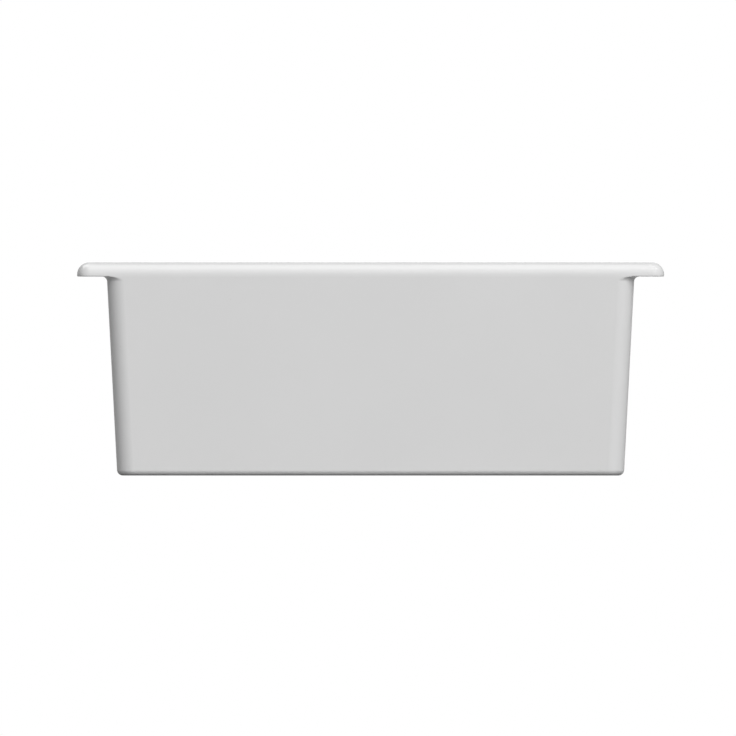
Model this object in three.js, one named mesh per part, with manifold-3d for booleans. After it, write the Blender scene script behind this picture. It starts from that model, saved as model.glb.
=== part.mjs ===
// Undermount bathroom sink: a glazed ceramic basin with its push-button waste and its overflow ring.
// Millimetres, +Z up. The origin is the centre of the footprint, on the surface that the basin stands on.
// The front, towards -Y, is the side where a double wall is flush with the rim.

import * as THREE from "three";
import { mergeVertices } from "three/addons/utils/BufferGeometryUtils.js";
import Module from "manifold-3d";

const wasm = await Module();
wasm.setup();

// Rim: the flat flange that is fixed up against the underside of a worktop
const rimWidth = 533.4;
const rimDepth = 381;
const rimThickness = 12.8;
const rimTopRadius = 11;
const rimUnderRadius = 0.9;
const rimCornerRadius = 12;
const rimOverhang = 27;

// Body: the drafted outer walls below the rim, down to the rounded foot that they stand on
const bodyHeight = 193.6;
const bodyDraft = 3 * THREE.MathUtils.DEG2RAD;
const bodyCornerRadius = 15.5;
const bodyHollowCornerRadius = 22;
const bodyFootRadius = 5;
const bodyLedgeFillet = 4.5;
const wall = 9.5;

// Bowl
const bowlDepth = 130;
const bowlCornerRadius = 34;
const bowlCoveRadius = 25;
const bowlLipRadius = 5;
const bowlFloorFall = 6.5;

// Drain: the outlet in the bowl's floor, its seat, and the boss under it with the overflow's slot
const drainRecessRadius = 36;
const drainRecessDepth = 4.5;
const drainRecessTaper = 1.6;
const drainBoreRadius = 22.5;
const drainBossRadius = 38;
const drainSlotWidth = 36;
const drainSlotHeight = 12;

// Overflow: a hole in the bowl's front wall, and the duct that leads from it to the drain
const overflowBoreRadius = 12;
const overflowDrop = 38;
const ductWidth = 56;
const ductRib = 8;
const ductPlate = 8;

// Waste: the flanged outlet tube, with a window on two sides and a spider inside
const wasteFlangeRadius = 32.5;
const wasteFlangeThickness = 4;
const wasteFlangeEdge = 1.4;
const wasteDishRadius = 24.5;
const wasteDishDepth = 3.6;
const wasteTubeRadius = 20.95;
const wasteTubeWall = 2.8;
const wasteTubeLength = 61;
const wasteTubeChamfer = 1;
const wasteWindowWidth = 22;
const wasteWindowHeight = 10;
const wasteSpiderDrop = 38;
const wasteSpiderThickness = 5;
const wasteSpiderArm = 4;
const wasteHubRadius = 6.5;
const wasteStudRadius = 3;

// Gaskets, washer and nut that clamp the waste in the drain
const flangeGasketThickness = 1.5;
const flangeGasketInset = 2.5;
const coneGasketRadius = 31;
const coneGasketThickness = 8;
const coneGasketTaper = 3.5;
const coneGasketSpigot = 3;
const slipWasherRadius = 29;
const slipWasherThickness = 1.5;
const backNutAcrossFlats = 56;
const backNutThickness = 10;
const backNutFaceRadius = 26.5;
const backNutFaceThickness = 1.2;

// Click cartridge on the spider: its housing and collar, and the ratchet ring and spring inside
const housingRadius = 8;
const housingWall = 1.7;
const housingFloor = 3.5;
const housingLength = 32;
const collarDepth = 2.6;
const collarFlange = 1.2;
const ratchetThickness = 3.2;
const ratchetToothHeight = 1.2;
const ratchetTeeth = 8;
const ratchetBoreRadius = 2;
const springWireRadius = 0.5;
const springTurns = 5;

// Stopper: the plunger, and the domed cap on it with its seal
const stopperTravel = 8.5;
const plungerRadius = 3.9;
const plungerHeadThickness = 2;
const plungerPinRadius = 2.8;
const plungerPinLength = 6.5;
const capRadius = 29.5;
const capEdgeThickness = 3;
const capEdgeRadius = 1.3;
const capDomeRise = 2.2;
const capSpigotRadius = 16;
const capSpigotWall = 3;
const capLipWidth = 1.4;
const capLipHeight = 1;
const capBossRadius = 6.5;
const capBossDepth = 5.4;
const capSocketDepth = 7;
const capSealThickness = 2;

// Overflow ring: the trim that is pushed into the overflow hole
const ringFaceRadius = 16.5;
const ringFaceThickness = 2.6;
const ringFaceEdge = 1.3;
const ringSleeveWall = 1.8;
const ringBarbHeight = 1.2;
const ringBarbLength = 3;
const ringSlotWidth = 2.4;
const ringSlotPairs = 2;

// Clearances, and the length by which a cut runs past what it cuts
const seatGap = 0.1;
const turnedGap = 0.3;
const runningGap = 0.3;
const overrun = 2;

// How finely round forms are divided
const cornerSteps = 6;
const sideSteps = 4;
const arcSteps = 5;
const coveSteps = 5;
const floorSteps = 3;
const domeSteps = 5;
const roundSides = 48;
const smallSides = 24;
const springStepsPerTurn = 8;
const springSides = 5;

// Places that follow from the sizes above
const draftSlope = Math.tan(bodyDraft);
const rimTop = bodyHeight;
const rimUnderside = rimTop - rimThickness;
const rimFront = -rimDepth / 2;
const bodyHalfWidth = rimWidth / 2 - rimOverhang;
const bodyBack = rimDepth / 2 - rimOverhang;
const frontGap = rimOverhang - wall;
const bowlHalfWidth = bodyHalfWidth - wall;
const bowlBack = bodyBack - wall;
const bowlFront = rimFront + 2 * wall + frontGap;
const drainSeat = rimTop - bowlDepth;
const drainFloor = drainSeat + drainRecessDepth;
const bowlFloorEdge = drainFloor + bowlFloorFall;
const ductFloor = drainFloor - wall - frontGap;
const bossBottom = ductFloor - ductPlate;
const overflowLevel = rimTop - overflowDrop;

// Places along the waste, measured from the underside of its flange
const wasteLevel = drainSeat + flangeGasketThickness + 2 * seatGap;
const wasteWindowLevel = ductFloor + drainSlotHeight / 2 - wasteLevel;
const wasteBoreRadius = wasteTubeRadius - wasteTubeWall;
const wasteDishSlope = (wasteDishRadius - wasteBoreRadius) / wasteDishDepth;
const nutBoreRadius = wasteTubeRadius + runningGap;
const coneGasketTop = bossBottom - wasteLevel - seatGap;
const slipWasherTop = coneGasketTop - coneGasketThickness - seatGap;
const backNutTop = slipWasherTop - slipWasherThickness - seatGap;
const housingBottom = seatGap - wasteSpiderDrop;
const housingTop = housingBottom + housingLength;
const housingBoreRadius = housingRadius - housingWall;
const collarBottom = housingTop - collarDepth;
const plungerHeadTop = collarBottom - runningGap - stopperTravel;
const ratchetTop = plungerHeadTop - plungerHeadThickness - runningGap;
const springTop = ratchetTop - ratchetThickness - seatGap;
const springBottom = housingBottom + housingFloor + seatGap;
const capUnderside = wasteFlangeThickness + runningGap;
const capBossBottom = capUnderside - capBossDepth;
const capSealTop = capUnderside - seatGap;
const capSealBottom = capSealTop - capSealThickness;

const glaze = new THREE.MeshStandardMaterial({ color: 0xf2f2f0, roughness: 0.14, metalness: 0 });
const chrome = new THREE.MeshStandardMaterial({ color: 0xd8dadc, roughness: 0.08, metalness: 1 });
const brass = new THREE.MeshStandardMaterial({ color: 0xc8a455, roughness: 0.32, metalness: 1 });
const rubber = new THREE.MeshStandardMaterial({ color: 0x232323, roughness: 0.78, metalness: 0 });
const nylon = new THREE.MeshStandardMaterial({ color: 0xe9e6dc, roughness: 0.5, metalness: 0 });
const acetal = new THREE.MeshStandardMaterial({ color: 0x3b3e42, roughness: 0.45, metalness: 0 });
const springSteel = new THREE.MeshStandardMaterial({ color: 0x9fa3a8, roughness: 0.28, metalness: 1 });

// A closed geometry as a solid that can be cut and joined
function solidOf(geometry) {
  const bare = new THREE.BufferGeometry();
  bare.setAttribute("position", geometry.getAttribute("position"));
  bare.setIndex(geometry.index);
  const merged = mergeVertices(bare);
  const corners = merged.index.array;
  const triVerts = [];
  for (let corner = 0; corner < corners.length; corner += 3) {
    const [a, b, c] = corners.slice(corner, corner + 3);
    if (a !== b && b !== c && c !== a) triVerts.push(a, b, c);
  }
  const vertProperties = merged.getAttribute("position").array;
  return new wasm.Manifold(new wasm.Mesh({ numProp: 3, vertProperties, triVerts: new Uint32Array(triVerts) }));
}

function meshOf(name, solid, material) {
  const { vertProperties, triVerts } = solid.getMesh();
  const geometry = new THREE.BufferGeometry();
  geometry.setAttribute("position", new THREE.BufferAttribute(vertProperties, 3));
  geometry.setIndex(new THREE.BufferAttribute(triVerts, 1));
  geometry.computeVertexNormals();
  const mesh = new THREE.Mesh(geometry, material);
  mesh.name = name;
  return mesh;
}

// Equal shares from 0 to 1
function sharesOf(steps) {
  return Array.from({ length: steps + 1 }, (_, step) => step / steps);
}

// A quarter circle as shares of its radius: it starts level, furthest in, and ends upright
function quarterShares(steps) {
  return sharesOf(steps).map((share) => {
    const angle = (share * Math.PI) / 2;
    return { inShare: 1 - Math.sin(angle), upShare: 1 - Math.cos(angle) };
  });
}

// A profile of [radius, level] pairs, listed anticlockwise, turned about Z
function revolve(profile, sides = roundSides) {
  const points = profile.map(([radius, level]) => new THREE.Vector2(radius, level));
  if (points[0].x > 0) points.push(points[0].clone());
  return new THREE.LatheGeometry(points, sides).rotateX(Math.PI / 2);
}

function block(left, right, front, back, bottom, top) {
  const geometry = new THREE.BoxGeometry(right - left, back - front, top - bottom);
  return geometry.translate((left + right) / 2, (front + back) / 2, (bottom + top) / 2);
}

// A rounded rectangle seen from above, anticlockwise, with points along its straight sides if asked for
function roundedOutline(halfWidth, front, back, corner, sides = 1) {
  const centres = [
    [halfWidth - corner, back - corner],
    [corner - halfWidth, back - corner],
    [corner - halfWidth, front + corner],
    [halfWidth - corner, front + corner],
  ];
  const quarters = centres.map(([x, y], quarter) =>
    sharesOf(cornerSteps).map((share) => {
      const angle = ((quarter + share) * Math.PI) / 2;
      return new THREE.Vector2(x + corner * Math.cos(angle), y + corner * Math.sin(angle));
    }),
  );
  return quarters.flatMap((quarter, index) => {
    const start = quarter.at(-1);
    const end = quarters[(index + 1) % quarters.length][0];
    const side = sharesOf(sides).slice(1, -1).map((share) => start.clone().lerp(end, share));
    return [...quarter, ...side];
  });
}

// A circle in step with such an outline: as many points, and a point on each axis
function circleOutline(radius) {
  const count = 4 * (cornerSteps + sideSteps);
  return Array.from({ length: count }, (_, index) => {
    const angle = ((index + sideSteps / 2) / count) * 2 * Math.PI;
    return new THREE.Vector2(radius * Math.cos(angle), radius * Math.sin(angle));
  });
}

// A closed skin through sections with equal numbers of points, listed from the bottom up
function loft(sections) {
  const count = sections[0].outline.length;
  const last = (sections.length - 1) * count;
  const places = sections.flatMap(({ outline, level }) => outline.flatMap(({ x, y }) => [x, y, level]));
  const faces = [];
  for (let ring = 0; ring < last; ring += count) {
    for (let index = 0; index < count; index++) {
      const here = ring + index;
      const next = ring + ((index + 1) % count);
      faces.push(here, next, next + count, here, next + count, here + count);
    }
  }
  for (const [a, b, c] of THREE.ShapeUtils.triangulateShape(sections[0].outline, [])) {
    faces.push(c, b, a);
  }
  for (const [a, b, c] of THREE.ShapeUtils.triangulateShape(sections.at(-1).outline, [])) {
    faces.push(last + a, last + b, last + c);
  }
  const geometry = new THREE.BufferGeometry();
  geometry.setAttribute("position", new THREE.Float32BufferAttribute(places, 3));
  geometry.setIndex(faces);
  return geometry;
}

function prism(outline, bottom, top) {
  return loft([
    { outline, level: bottom },
    { outline, level: top },
  ]);
}

// How far a drafted wall stands in from its place at the rim's underside
function draftInset(level) {
  return (rimUnderside - level) * draftSlope;
}

function bodySection(level, inset, corner = bodyCornerRadius - inset) {
  const drafted = inset + draftInset(level);
  const outline = roundedOutline(bodyHalfWidth - drafted, rimFront + drafted, bodyBack - drafted, corner);
  return { outline, level };
}

function rimSection(level, inset) {
  const front = rimFront + inset;
  return { outline: roundedOutline(rimWidth / 2 - inset, front, -front, rimCornerRadius - inset), level };
}

// The outer form: foot, drafted walls, and a fillet that runs out under the rim's ledges.
// At the front there is no ledge, so the fillet goes no further than the plane of the wall.
function outerSolid() {
  const foot = quarterShares(arcSteps).map(({ inShare, upShare }) =>
    bodySection(bodyFootRadius * upShare, bodyFootRadius * inShare),
  );
  const fillet = quarterShares(arcSteps).map(({ inShare, upShare }) => {
    const section = bodySection(rimUnderside - bodyLedgeFillet * inShare, -bodyLedgeFillet * upShare);
    const front = rimFront + draftInset(section.level);
    for (const point of section.outline) point.y = Math.max(point.y, front);
    return section;
  });
  const intoRim = { ...fillet.at(-1), level: rimTop - rimTopRadius };
  const body = solidOf(loft([...foot, ...fillet, intoRim]));

  const underEdge = quarterShares(2).map(({ inShare, upShare }) =>
    rimSection(rimUnderside + rimUnderRadius * upShare, rimUnderRadius * inShare),
  );
  const topEdge = quarterShares(arcSteps + 1).map(({ inShare, upShare }) =>
    rimSection(rimTop - rimTopRadius * inShare, rimTopRadius * upShare),
  );
  return body.add(solidOf(loft([...underEdge, ...topEdge])));
}

function bowlSection(level, inset) {
  const outline = roundedOutline(
    bowlHalfWidth - inset,
    bowlFront + inset,
    bowlBack - inset,
    bowlCornerRadius - inset,
    sideSteps,
  );
  return { outline, level };
}

// The bowl's surface moved out by a skin: the floor falls to the drain, and a cove turns up into the wall
function bowlSections(skin) {
  const coveLevel = bowlFloorEdge + bowlCoveRadius;
  const coveInset = draftInset(coveLevel) + bowlCoveRadius / Math.cos(bodyDraft);
  const cove = sharesOf(coveSteps).map((share) => {
    const angle = THREE.MathUtils.lerp(Math.PI / 2, bodyDraft, share);
    const reach = bowlCoveRadius + skin;
    return bowlSection(coveLevel - reach * Math.sin(angle), coveInset - reach * Math.cos(angle));
  });
  const [edge] = cove;
  const circle = circleOutline(drainRecessRadius);
  const floor = sharesOf(floorSteps).map((share) => ({
    outline: circle.map((point, index) => point.clone().lerp(edge.outline[index], share)),
    level: THREE.MathUtils.lerp(drainFloor - skin, edge.level, share),
  }));
  return [...floor.slice(0, -1), ...cove];
}

function bowlSolid(skin) {
  const top = rimUnderside + overrun;
  const wallTop = bowlSection(top, draftInset(top) - skin / Math.cos(bodyDraft));
  return solidOf(loft([...bowlSections(skin), wallTop]));
}

// The space in the bowl, with the drain's bore and seat below and the rounded lip above
function bowlSpace() {
  const drain = [
    { outline: circleOutline(drainBoreRadius), level: bossBottom - overrun },
    { outline: circleOutline(drainBoreRadius), level: drainSeat },
    { outline: circleOutline(drainRecessRadius - drainRecessTaper), level: drainSeat },
  ];
  const lipInset = draftInset(rimTop - bowlLipRadius);
  const lip = quarterShares(arcSteps).map(({ inShare, upShare }) =>
    bowlSection(rimTop - bowlLipRadius * inShare, lipInset - bowlLipRadius * upShare),
  );
  const above = { ...lip.at(-1), level: rimTop + overrun };
  return solidOf(loft([...drain, ...bowlSections(0), ...lip, above]));
}

// A slab across the front half of the basin, as wide as the duct or its ribs
function ductStrip(width) {
  return solidOf(block(-width / 2, width / 2, rimFront, 0, 0, rimUnderside));
}

// The overflow's hole is square to the drafted front wall of the bowl
const overflowPlace = new THREE.Matrix4()
  .makeRotationX(bodyDraft - Math.PI / 2)
  .setPosition(0, bowlFront + draftInset(overflowLevel), overflowLevel);

// One casting: the bowl hangs inside drafted outer walls, and the space under it is open to below.
// The duct follows the bowl's outside from the overflow hole to a slot in the drain's boss.
function basinSolid() {
  const shell = bowlSolid(wall);
  const boss = ringSolid(0, drainBossRadius, bossBottom, drainFloor - wall + overrun);
  const ductWalls = bowlSolid(wall + frontGap + ductPlate).intersect(ductStrip(ductWidth + 2 * ductRib));
  const ductSpace = bowlSolid(wall + frontGap).intersect(ductStrip(ductWidth));
  const hollowTop = bodySection(rimUnderside, wall, bodyHollowCornerRadius);
  const hollowFoot = bodySection(-overrun, wall, bodyHollowCornerRadius);
  const hollow = solidOf(loft([hollowFoot, hollowTop]));
  const slotSide = drainSlotWidth / 2;
  const slotTop = ductFloor + drainSlotHeight;
  const slot = block(-slotSide, slotSide, -drainBossRadius, 0, ductFloor, slotTop);
  const hole = new THREE.CylinderGeometry(
    overflowBoreRadius,
    overflowBoreRadius,
    wall + 2 * overrun,
    smallSides,
  );
  hole.rotateX(Math.PI / 2).translate(0, 0, -wall / 2).applyMatrix4(overflowPlace);
  return outerSolid()
    .subtract(hollow.subtract(shell).subtract(boss).subtract(ductWalls))
    .subtract(ductSpace.subtract(shell).subtract(boss))
    .subtract(solidOf(slot))
    .subtract(solidOf(hole))
    .subtract(bowlSpace());
}

// A slot with round ends through both sides of the waste's tube
function windowCutter() {
  const half = wasteWindowHeight / 2;
  const outline = roundedOutline(wasteWindowWidth / 2, -half, half, half);
  const reach = wasteTubeRadius + overrun;
  return prism(outline, -reach, reach).rotateX(Math.PI / 2).translate(0, 0, wasteWindowLevel);
}

function wasteBodySolid() {
  const edge = quarterShares(arcSteps).map(({ inShare, upShare }) => [
    wasteFlangeRadius - wasteFlangeEdge * upShare,
    wasteFlangeThickness - wasteFlangeEdge * inShare,
  ]);
  const tube = revolve([
    [wasteBoreRadius, -wasteTubeLength],
    [wasteTubeRadius - wasteTubeChamfer, -wasteTubeLength],
    [wasteTubeRadius, wasteTubeChamfer - wasteTubeLength],
    [wasteTubeRadius, 0],
    [wasteFlangeRadius, 0],
    ...edge,
    [wasteDishRadius, wasteFlangeThickness],
    [wasteBoreRadius, wasteFlangeThickness - wasteDishDepth],
  ]);
  const spiderBottom = -wasteSpiderDrop - wasteSpiderThickness;
  const hub = ringSolid(0, wasteHubRadius, spiderBottom, -wasteSpiderDrop, smallSides);
  const studRadius = wasteStudRadius + seatGap;
  const studBore = ringSolid(0, studRadius, spiderBottom - overrun, overrun - wasteSpiderDrop, smallSides);
  const reach = wasteTubeRadius - wasteTubeWall / 2;
  const half = wasteSpiderArm / 2;
  const arms = block(-reach, reach, -half, half, spiderBottom, -wasteSpiderDrop);
  return solidOf(tube)
    .subtract(solidOf(windowCutter()))
    .add(solidOf(arms))
    .add(solidOf(arms.clone().rotateZ(Math.PI / 2)))
    .add(hub)
    .subtract(studBore);
}

// A plain ring between two radii, from one level to another
function ringSolid(inner, outer, bottom, top, sides) {
  return solidOf(
    revolve(
      [
        [inner, bottom],
        [outer, bottom],
        [outer, top],
        [inner, top],
      ],
      sides,
    ),
  );
}

// The gasket under the basin: its spigot centres the waste in the drain's bore
function coneGasketSolid() {
  const bottom = coneGasketTop - coneGasketThickness;
  return solidOf(
    revolve([
      [nutBoreRadius, bottom],
      [coneGasketRadius, bottom],
      [coneGasketRadius, bottom + coneGasketThickness / 2],
      [coneGasketRadius - coneGasketTaper, coneGasketTop],
      [drainBoreRadius - runningGap, coneGasketTop],
      [drainBoreRadius - runningGap, coneGasketTop + coneGasketSpigot],
      [nutBoreRadius, coneGasketTop + coneGasketSpigot],
    ]),
  );
}

// A hexagon whose corners are turned off, with a round face towards the washer
function backNutSolid() {
  const bottom = backNutTop - backNutThickness;
  const flatRadius = backNutAcrossFlats / 2;
  const hexRadius = backNutAcrossFlats / Math.sqrt(3);
  const chamfer = hexRadius - flatRadius;
  const shoulder = backNutTop - backNutFaceThickness;
  const turned = revolve([
    [0, bottom],
    [flatRadius, bottom],
    [hexRadius, bottom + chamfer / 2],
    [hexRadius, shoulder - chamfer / 2],
    [flatRadius, shoulder],
    [backNutFaceRadius, shoulder],
    [backNutFaceRadius, backNutTop],
    [0, backNutTop],
  ]);
  return ringSolid(0, hexRadius, bottom - overrun, backNutTop + overrun, 6)
    .intersect(solidOf(turned))
    .subtract(ringSolid(0, nutBoreRadius, bottom - overrun, backNutTop + overrun));
}

function housingSolid() {
  const studBottom = -wasteSpiderDrop - wasteSpiderThickness;
  const floorTop = housingBottom + housingFloor;
  return solidOf(
    revolve(
      [
        [0, studBottom],
        [wasteStudRadius, studBottom],
        [wasteStudRadius, housingBottom],
        [housingRadius, housingBottom],
        [housingRadius, housingTop],
        [housingBoreRadius, housingTop],
        [housingBoreRadius, floorTop],
        [0, floorTop],
      ],
      smallSides,
    ),
  );
}

function collarSolid() {
  const flangeBottom = housingTop + seatGap;
  return solidOf(
    revolve(
      [
        [plungerRadius + runningGap, collarBottom],
        [housingBoreRadius - seatGap, collarBottom],
        [housingBoreRadius - seatGap, flangeBottom],
        [housingRadius, flangeBottom],
        [housingRadius, flangeBottom + collarFlange],
        [plungerRadius + runningGap, flangeBottom + collarFlange],
      ],
      smallSides,
    ),
  );
}

// A ring whose top rises and falls as a crown of teeth
function ratchetSolid() {
  const bottom = ratchetTop - ratchetThickness;
  const outer = housingBoreRadius - runningGap;
  const columns = sharesOf(2 * ratchetTeeth).slice(1);
  const places = columns.flatMap((share, column) => {
    const crest = column % 2 === 0 ? ratchetTop : ratchetTop - ratchetToothHeight;
    const corners = [
      [ratchetBoreRadius, bottom],
      [outer, bottom],
      [outer, crest],
      [ratchetBoreRadius, crest],
    ];
    const angle = share * 2 * Math.PI;
    return corners.flatMap(([radius, level]) => [radius * Math.cos(angle), radius * Math.sin(angle), level]);
  });
  const count = places.length / 3;
  const faces = [];
  for (let here = 0; here < count; here++) {
    const above = here % 4 === 3 ? here - 3 : here + 1;
    faces.push(here, (here + 4) % count, (above + 4) % count, here, (above + 4) % count, above);
  }
  const geometry = new THREE.BufferGeometry();
  geometry.setAttribute("position", new THREE.Float32BufferAttribute(places, 3));
  geometry.setIndex(faces);
  return solidOf(geometry);
}

class Helix extends THREE.Curve {
  getPoint(share, target = new THREE.Vector3()) {
    const radius = housingBoreRadius - runningGap - 2 * springWireRadius;
    const angle = share * springTurns * 2 * Math.PI;
    const low = springBottom + springWireRadius;
    const high = springTop - springWireRadius;
    const level = THREE.MathUtils.lerp(low, high, share);
    return target.set(radius * Math.cos(angle), radius * Math.sin(angle), level);
  }
}

// The least gap between the spring's turns, from each point to the points over half a turn further on
function springGap(points) {
  const gaps = points.flatMap((point, index) =>
    points.slice(index + springStepsPerTurn / 2).map((other) => point.distanceTo(other)),
  );
  return Math.min(...gaps) - 2 * springWireRadius;
}

function springSolid() {
  const helix = new Helix();
  const steps = springTurns * springStepsPerTurn;
  const corners = sharesOf(springSides)
    .slice(1)
    .map((share) => {
      const angle = share * 2 * Math.PI;
      return new THREE.Vector2(springWireRadius * Math.cos(angle), springWireRadius * Math.sin(angle));
    });
  const wire = new THREE.ExtrudeGeometry(new THREE.Shape(corners), { steps, extrudePath: helix });
  console.log(`click_spring: least gap between turns ${springGap(helix.getPoints(steps)).toFixed(2)} mm`);
  return solidOf(wire);
}

// The plunger's head is trapped under the collar, and its pin carries the cap
function plungerSolid() {
  const shoulder = capBossBottom - seatGap;
  const headBottom = plungerHeadTop - plungerHeadThickness;
  const headRadius = housingBoreRadius - runningGap;
  return solidOf(
    revolve(
      [
        [0, headBottom],
        [headRadius, headBottom],
        [headRadius, plungerHeadTop],
        [plungerRadius, plungerHeadTop],
        [plungerRadius, shoulder],
        [plungerPinRadius, shoulder],
        [plungerPinRadius, shoulder + plungerPinLength],
        [0, shoulder + plungerPinLength],
      ],
      smallSides,
    ),
  );
}

function capSolid() {
  const edgeTop = capUnderside + capEdgeThickness;
  const domeRadius = capRadius - capEdgeRadius;
  const socketRadius = plungerPinRadius + seatGap;
  const lipTop = capSealBottom - seatGap;
  const edge = quarterShares(arcSteps).map(({ inShare, upShare }) => [
    capRadius - capEdgeRadius * upShare,
    edgeTop - capEdgeRadius * inShare,
  ]);
  const dome = sharesOf(domeSteps)
    .slice(1)
    .map((share) => [domeRadius * (1 - share), edgeTop + capDomeRise * (1 - (1 - share) ** 2)]);
  return solidOf(
    revolve([
      [0, capBossBottom + capSocketDepth],
      [socketRadius, capBossBottom + capSocketDepth],
      [socketRadius, capBossBottom],
      [capBossRadius, capBossBottom],
      [capBossRadius, capUnderside],
      [capSpigotRadius - capSpigotWall, capUnderside],
      [capSpigotRadius - capSpigotWall, lipTop - capLipHeight],
      [capSpigotRadius + capLipWidth, lipTop - capLipHeight],
      [capSpigotRadius + capLipWidth, lipTop],
      [capSpigotRadius, lipTop],
      [capSpigotRadius, capUnderside],
      [capRadius, capUnderside],
      ...edge,
      ...dome,
    ]),
  );
}

// The seal reaches out until its lower edge lies a running gap from the waste's conical dish
function capSealSolid() {
  const dishRadius = wasteDishRadius - (wasteFlangeThickness - capSealBottom) * wasteDishSlope;
  const outer = dishRadius - runningGap * Math.hypot(1, wasteDishSlope);
  return ringSolid(capSpigotRadius + seatGap, outer, capSealBottom, capSealTop);
}

// The ring stands on the wall of the bowl, and its barbs grip the wall from behind
function overflowRingSolid() {
  const sleeveRadius = overflowBoreRadius - runningGap;
  const innerRadius = sleeveRadius - ringSleeveWall;
  const barbRadius = overflowBoreRadius + ringBarbHeight;
  const barbTop = -wall - 2 * turnedGap;
  const end = barbTop - ringBarbLength;
  const edge = quarterShares(arcSteps).map(({ inShare, upShare }) => [
    ringFaceRadius - ringFaceEdge * upShare,
    ringFaceThickness - ringFaceEdge * inShare,
  ]);
  const ring = revolve(
    [
      [innerRadius, end],
      [sleeveRadius, end],
      [barbRadius, barbTop - ringBarbHeight / 2],
      [barbRadius, barbTop],
      [sleeveRadius, barbTop],
      [sleeveRadius, 0],
      [ringFaceRadius, 0],
      ...edge,
      [innerRadius + ringFaceEdge, ringFaceThickness],
      [innerRadius, ringFaceThickness - ringFaceEdge],
    ],
    smallSides,
  );
  const half = ringSlotWidth / 2;
  const reach = barbRadius + overrun;
  const slot = block(-half, half, -reach, reach, end - overrun, -wall / 2);
  let solid = solidOf(ring);
  for (let pair = 0; pair < ringSlotPairs; pair++) {
    solid = solid.subtract(solidOf(slot.clone().rotateZ((pair / ringSlotPairs) * Math.PI)));
  }
  return solid;
}

function stopper() {
  const group = new THREE.Group();
  group.add(
    meshOf("stopper_cap", capSolid(), chrome),
    meshOf("stopper_seal", capSealSolid(), rubber),
    meshOf("click_plunger", plungerSolid(), brass),
    meshOf("click_ratchet", ratchetSolid(), acetal),
  );
  return group;
}

function waste() {
  const gasketRadius = wasteFlangeRadius - flangeGasketInset;
  const gasketBottom = -seatGap - flangeGasketThickness;
  const flangeGasket = ringSolid(nutBoreRadius, gasketRadius, gasketBottom, -seatGap);
  const washerBottom = slipWasherTop - slipWasherThickness;
  const slipWasher = ringSolid(nutBoreRadius, slipWasherRadius, washerBottom, slipWasherTop);
  const group = new THREE.Group();
  group.position.z = wasteLevel;
  group.add(
    meshOf("waste_body", wasteBodySolid(), chrome),
    meshOf("flange_gasket", flangeGasket, rubber),
    meshOf("cone_gasket", coneGasketSolid(), rubber),
    meshOf("slip_washer", slipWasher, nylon),
    meshOf("back_nut", backNutSolid(), brass),
    meshOf("click_housing", housingSolid(), acetal),
    meshOf("click_collar", collarSolid(), brass),
    meshOf("click_spring", springSolid(), springSteel),
    stopper(),
  );
  return group;
}

function overflow() {
  const ring = meshOf("overflow_ring", overflowRingSolid(), chrome);
  ring.position.z = turnedGap;
  const group = new THREE.Group();
  group.applyMatrix4(overflowPlace);
  group.add(ring);
  return group;
}

const sink = new THREE.Group();
sink.add(meshOf("basin", basinSolid(), glaze), overflow(), waste());

export default sink;
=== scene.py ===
# Undermount bathroom sink: the visual model, its studio and its camera.
# Sizes are in millimetres. Finished meshes, textures and lights are in metres.
# +X is right, +Y is back and +Z is up.
import math

import bmesh
import bpy
from mathutils import Matrix, Vector


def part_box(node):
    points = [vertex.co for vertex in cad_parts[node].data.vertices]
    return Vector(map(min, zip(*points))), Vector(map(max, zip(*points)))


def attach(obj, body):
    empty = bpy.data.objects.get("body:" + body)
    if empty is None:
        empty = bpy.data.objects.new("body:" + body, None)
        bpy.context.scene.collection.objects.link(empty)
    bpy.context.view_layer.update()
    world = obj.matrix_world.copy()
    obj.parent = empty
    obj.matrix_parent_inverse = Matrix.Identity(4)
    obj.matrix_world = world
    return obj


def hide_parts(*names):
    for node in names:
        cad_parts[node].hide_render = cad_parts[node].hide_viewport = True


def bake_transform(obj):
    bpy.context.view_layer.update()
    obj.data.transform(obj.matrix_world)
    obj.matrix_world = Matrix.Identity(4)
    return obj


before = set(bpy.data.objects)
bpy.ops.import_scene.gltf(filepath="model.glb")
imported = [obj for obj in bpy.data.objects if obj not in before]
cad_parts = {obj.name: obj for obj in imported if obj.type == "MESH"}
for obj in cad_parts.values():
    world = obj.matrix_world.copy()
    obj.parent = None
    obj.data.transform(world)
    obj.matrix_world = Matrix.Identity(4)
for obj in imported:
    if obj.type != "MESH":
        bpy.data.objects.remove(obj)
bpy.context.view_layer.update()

MM = 0.001
SPAN_DECIMALS = 3


def in_millimetres(length):
    """A length of the frame, which is in metres, without the noise in its last digits"""
    return round(length / MM, SPAN_DECIMALS)


class Span:
    """The box of a CAD node in millimetres, and its radius where the node is round"""

    def __init__(self, node_name):
        low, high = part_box(node_name)
        self.width = in_millimetres(high.x - low.x)
        self.depth = in_millimetres(high.y - low.y)
        self.radius = self.width / 2
        self.bottom = in_millimetres(low.z)
        self.top = in_millimetres(high.z)


BASIN = Span("basin")
OVERFLOW_RING = Span("overflow_ring")
WASTE = Span("waste_body")
FLANGE_GASKET = Span("flange_gasket")
CONE_GASKET = Span("cone_gasket")
WASHER = Span("slip_washer")
NUT = Span("back_nut")
HOUSING = Span("click_housing")
COLLAR = Span("click_collar")
RATCHET = Span("click_ratchet")
PLUNGER = Span("click_plunger")
CAP = Span("stopper_cap")
SEAL = Span("stopper_seal")

# Rim and body of the basin
RIM_THICKNESS = 12.8
RIM_TOP_RADIUS = 11
RIM_UNDER_RADIUS = 0.9
RIM_CORNER_RADIUS = 12
RIM_OVERHANG = 27
BODY_DRAFT = math.radians(3)
BODY_CORNER_RADIUS = 15.5
HOLLOW_CORNER_RADIUS = 22
HOLLOW_EDGE_RADIUS = 2.5
FOOT_RADIUS = 5
LEDGE_FILLET = 4.5
WALL = 9.5

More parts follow.
